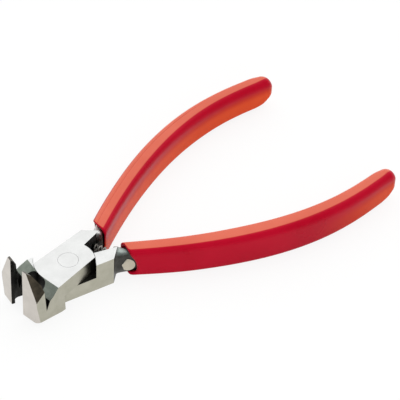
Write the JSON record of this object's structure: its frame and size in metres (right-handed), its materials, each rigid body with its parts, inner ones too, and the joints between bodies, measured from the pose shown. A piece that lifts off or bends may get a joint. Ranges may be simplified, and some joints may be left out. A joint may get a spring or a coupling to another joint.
{
  "type": "end cutting nippers",
  "caption": "Hand cutter whose raised jaws meet in a straight edge across the end, with a lap joint, an opening spring and dipped plastic grips.",
  "frame": {"origin": "on the pivot axis, at the flat underside of the head", "axes": "+X to the cutting edges, +Y to the handle of the lower half, +Z along the pivot to the side that the jaws rise on"},
  "size_m": [0.1299, 0.069, 0.0198],
  "materials": {
    "forged_steel": "finely ground on the head's outside, dark as forged inside the joint and on the necks",
    "rivet_steel": "ground flush",
    "spring_steel": "drawn wire",
    "grip_plastic": "dipped, satin gloss"
  },
  "bodies": {
    "lower": {"lower_half": "forged_steel", "pivot_rivet": "rivet_steel", "spring_plug": "rivet_steel", "opening_spring": "spring_steel", "grip_near": "grip_plastic"},
    "upper": {"upper_half": "forged_steel", "grip_far": "grip_plastic"}
  },
  "joints": [
    {"name": "pivot", "type": "hinge", "parent": "lower", "child": "upper", "pos_m": [0, 0, 0], "axis": [0, 0, 1], "range_deg": [-16.5, 0], "stiffness_Nm_per_rad": 0.3, "springref_deg": 6.88, "deforming": ["opening_spring"]}
  ]
}
